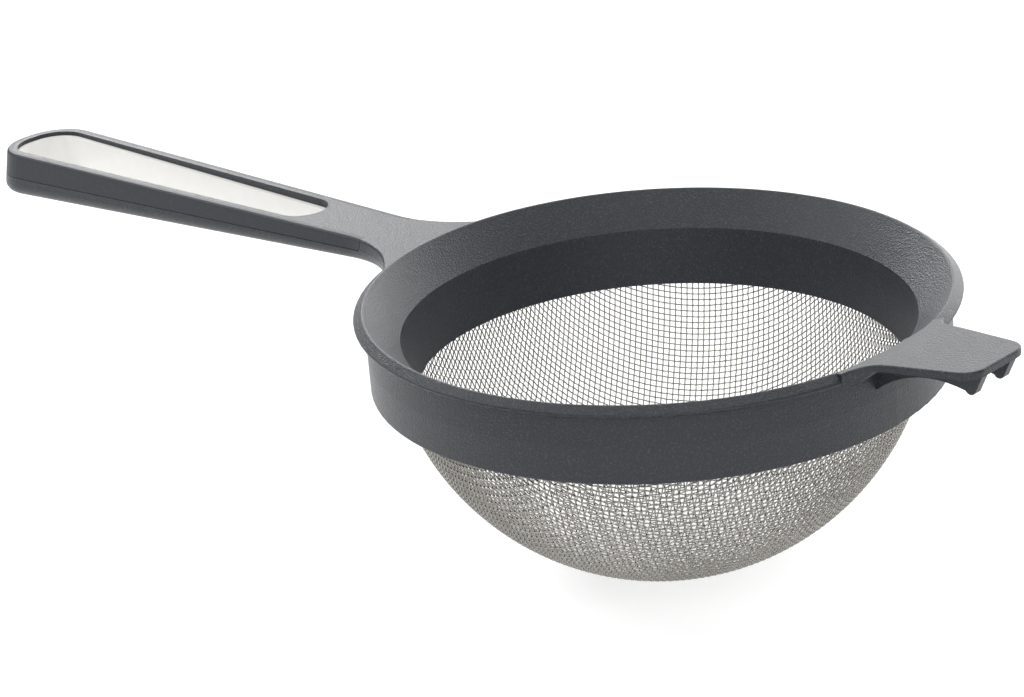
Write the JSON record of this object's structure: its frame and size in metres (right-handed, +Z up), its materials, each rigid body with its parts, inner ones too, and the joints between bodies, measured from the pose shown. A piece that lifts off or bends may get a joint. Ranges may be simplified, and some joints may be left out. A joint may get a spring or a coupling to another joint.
{
  "type": "tea strainer",
  "caption": "Hand-held tea strainer: a fine wire mesh bowl in a moulded plastic ring, with a long flat handle that has a soft grip band and a hanging slot with a liner, and a short rest tab.",
  "frame": {"origin": "on the bowl's axis, level with the highest line of the ring's rim", "axes": "+Z points up out of the bowl's mouth, and +X points from the handle to the rest tab"},
  "size_m": [0.2365, 0.1, 0.0511],
  "materials": {
    "dark_plastic": "spark-eroded grain",
    "steel_mesh": "woven wire",
    "soft_grip": "soft satin",
    "cream_liner": "smooth"
  },
  "bodies": {
    "root": {"strainer_frame": "dark_plastic", "mesh_bowl": "steel_mesh", "mesh_clamp_ring": "dark_plastic", "grip_band": "soft_grip", "handle_liner": "cream_liner"}
  },
  "joints": []
}
